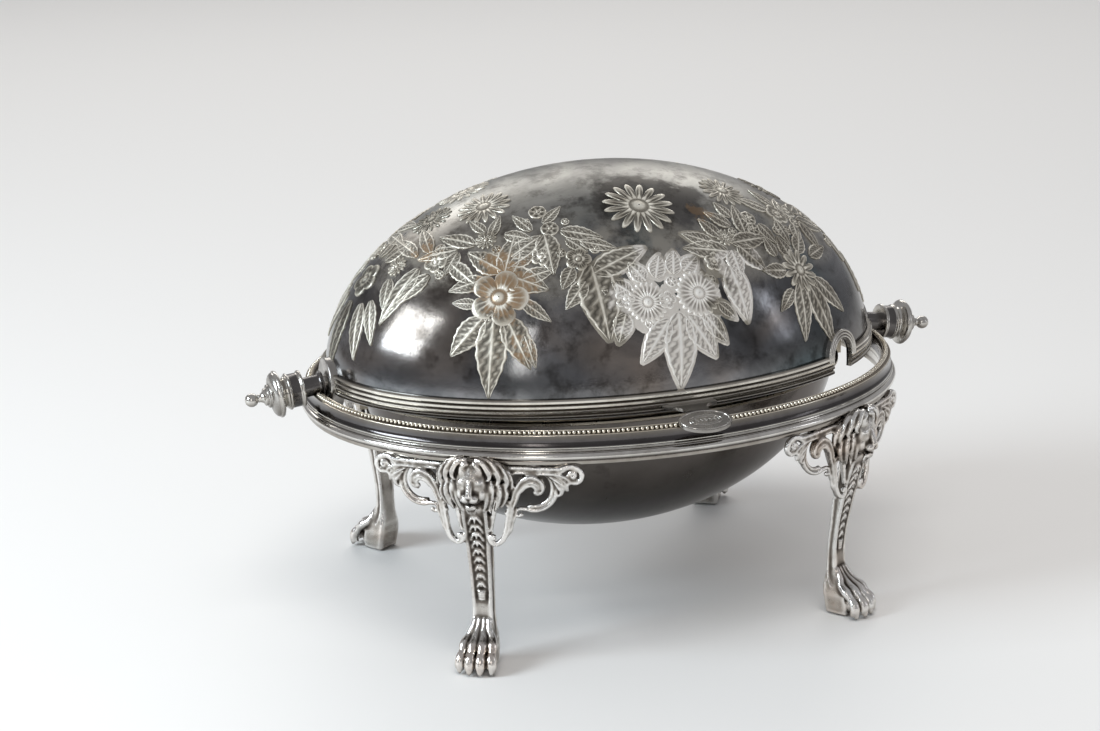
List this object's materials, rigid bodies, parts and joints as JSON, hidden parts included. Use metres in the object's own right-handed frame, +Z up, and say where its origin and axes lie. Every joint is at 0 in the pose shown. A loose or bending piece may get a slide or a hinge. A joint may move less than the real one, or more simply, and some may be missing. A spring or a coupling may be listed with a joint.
{
  "type": "revolving domed dish warmer",
  "caption": "Oval footed dish warmer: a domed cover turns on end knobs over a water bowl, liner and drainer, on four lion-mask legs.",
  "frame": {"origin": "on the floor under the middle of the oval frame", "axes": "+X along the cover's pivot axis to the right-hand knob, -Y to the front with the finger tab, +Z up"},
  "size_m": [0.378, 0.2561, 0.2247],
  "materials": {
    "silver_plate": "polished, tarnished",
    "silver_cast": "bright cast, dark recesses",
    "silver_inner": "satin, warm tarnish"
  },
  "bodies": {
    "base": {"base_ring": "silver_plate", "bead_strip": "silver_plate", "leg_front_left": "silver_cast", "leg_front_right": "silver_cast", "leg_back_left": "silver_cast", "leg_back_right": "silver_cast", "trunnion_left": "silver_plate", "trunnion_right": "silver_plate", "handle_knob_left": "silver_plate", "handle_knob_right": "silver_plate", "finial_screw_left": "silver_plate", "finial_screw_right": "silver_plate", "water_bowl": "silver_inner", "bowl_rim_band": "silver_inner", "bowl_hanger_left": "silver_inner", "bowl_hanger_right": "silver_inner", "liner_dish": "silver_inner", "drainer_plate": "silver_inner", "drainer_handle_left": "silver_inner", "drainer_handle_right": "silver_inner"},
    "cover": {"cover_dome": "silver_plate", "cover_border": "silver_plate", "cover_tab": "silver_plate", "cover_lug_left": "silver_plate", "cover_lug_right": "silver_plate", "notch_border": "silver_plate"}
  },
  "joints": [
    {"name": "cover_roll", "type": "hinge", "parent": "base", "child": "cover", "pos_m": [0, 0, 0.125], "axis": [-1, 0, 0], "range_deg": [0, 176]}
  ]
}
